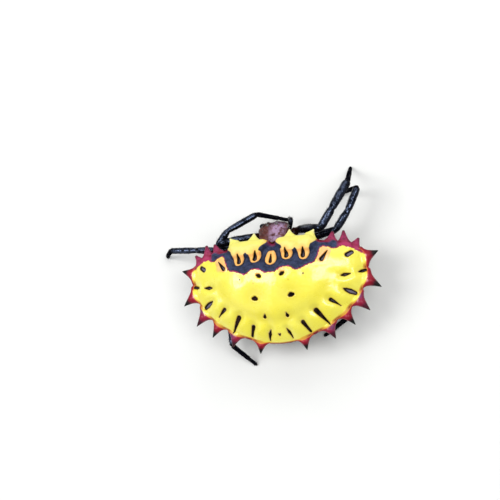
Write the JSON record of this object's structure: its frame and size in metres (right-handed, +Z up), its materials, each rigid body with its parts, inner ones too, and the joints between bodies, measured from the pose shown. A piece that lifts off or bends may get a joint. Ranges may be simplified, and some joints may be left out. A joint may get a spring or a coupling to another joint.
{
  "type": "spiny orb weaver",
  "caption": "Life-size still model of a spiny orb-weaving spider with a wide yellow spined abdomen, standing on its drawn-up legs.",
  "frame": {"origin": "on the floor under the feet, at the middle of the whole model seen from above", "axes": "+X to the spider's right, +Y towards its head, +Z up"},
  "size_m": [0.0182, 0.0148, 0.0061],
  "materials": {
    "abdomen_shell": "glossy yellow shell with a dark band, orange-ringed pits and red spines with black tips",
    "carapace": "dark red-brown, finely pitted, with a greyish sheen",
    "leg_cuticle": "black with a blue sheen, rough and bumpy",
    "eyes": "polished black"
  },
  "bodies": {
    "root": {"abdomen": "abdomen_shell", "cephalothorax": "carapace", "chelicera_left": "carapace", "chelicera_right": "carapace", "eye_front_middle_left": "eyes", "eye_front_middle_right": "eyes", "eye_front_side_left": "eyes", "eye_front_side_right": "eyes", "eye_rear_middle_left": "eyes", "eye_rear_middle_right": "eyes", "eye_rear_side_left": "eyes", "eye_rear_side_right": "eyes", "leg1_left_coxa": "leg_cuticle", "leg1_left_femur": "leg_cuticle", "leg1_left_foot": "leg_cuticle", "leg1_left_tibia": "leg_cuticle", "leg1_right_coxa": "leg_cuticle", "leg1_right_femur": "leg_cuticle", "leg1_right_foot": "leg_cuticle", "leg1_right_tibia": "leg_cuticle", "leg2_left_coxa": "leg_cuticle", "leg2_left_femur": "leg_cuticle", "leg2_left_foot": "leg_cuticle", "leg2_left_tibia": "leg_cuticle", "leg2_right_coxa": "leg_cuticle", "leg2_right_femur": "leg_cuticle", "leg2_right_foot": "leg_cuticle", "leg2_right_tibia": "leg_cuticle", "leg3_left_coxa": "leg_cuticle", "leg3_left_femur": "leg_cuticle", "leg3_left_foot": "leg_cuticle", "leg3_left_tibia": "leg_cuticle", "leg3_right_coxa": "leg_cuticle", "leg3_right_femur": "leg_cuticle", "leg3_right_foot": "leg_cuticle", "leg3_right_tibia": "leg_cuticle", "leg4_left_coxa": "leg_cuticle", "leg4_left_femur": "leg_cuticle", "leg4_left_foot": "leg_cuticle", "leg4_left_tibia": "leg_cuticle", "leg4_right_coxa": "leg_cuticle", "leg4_right_femur": "leg_cuticle", "leg4_right_foot": "leg_cuticle", "leg4_right_tibia": "leg_cuticle", "palp_left_inner": "leg_cuticle", "palp_left_outer": "leg_cuticle", "palp_right_inner": "leg_cuticle", "palp_right_outer": "leg_cuticle", "pedicel": "carapace", "spinnerets": "leg_cuticle"}
  },
  "joints": []
}
